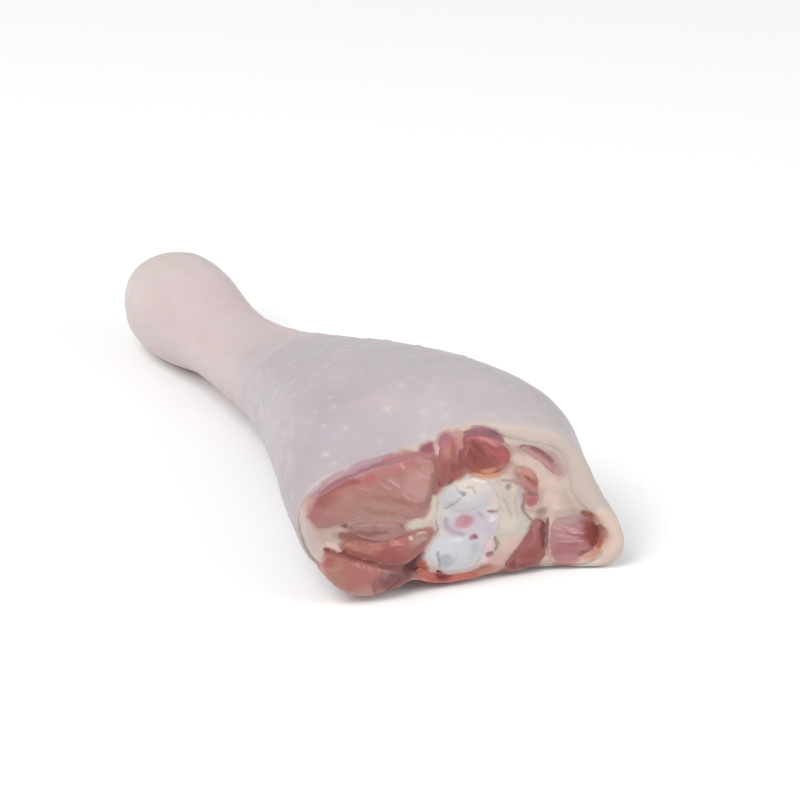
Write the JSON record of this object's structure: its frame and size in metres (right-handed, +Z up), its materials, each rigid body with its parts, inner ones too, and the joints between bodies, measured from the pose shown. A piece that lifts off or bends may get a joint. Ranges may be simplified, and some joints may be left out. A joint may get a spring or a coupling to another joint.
{
  "type": "raw turkey drumstick",
  "caption": "Raw turkey drumstick lying on its side: skin-covered leg that narrows to the hock and is cut through at the knee, showing muscles, fat and the cartilage-capped bone end.",
  "frame": {"origin": "centre of the bounding box's underside, on the surface that the leg rests on", "axes": "+X along the leg, from the hock to the cut knee end; +Z up; +Y to the side where the skin ends in a thick rolled edge"},
  "size_m": [0.2284, 0.1002, 0.0613],
  "materials": {
    "skin": "moist pinkish grey skin with fine bumps, satin",
    "fat": "moist cream-pink fat and connective tissue, satin",
    "cartilage": "wet bluish white cartilage, glossy",
    "pale_muscle": "moist pale red raw meat, satin",
    "red_muscle": "moist deep red raw meat, satin"
  },
  "bodies": {
    "root": {"skin": "skin", "fat": "fat", "tibia": "cartilage", "gastrocnemius": "pale_muscle", "flexor_strip": "red_muscle", "flexor_lobe": "red_muscle", "flexor_tip": "pale_muscle", "shin_small": "red_muscle", "shin_large": "red_muscle", "peroneal": "pale_muscle", "thin_muscle": "red_muscle", "deep_peroneal": "red_muscle", "flap_muscle": "pale_muscle", "underside_strip": "red_muscle"}
  },
  "joints": []
}
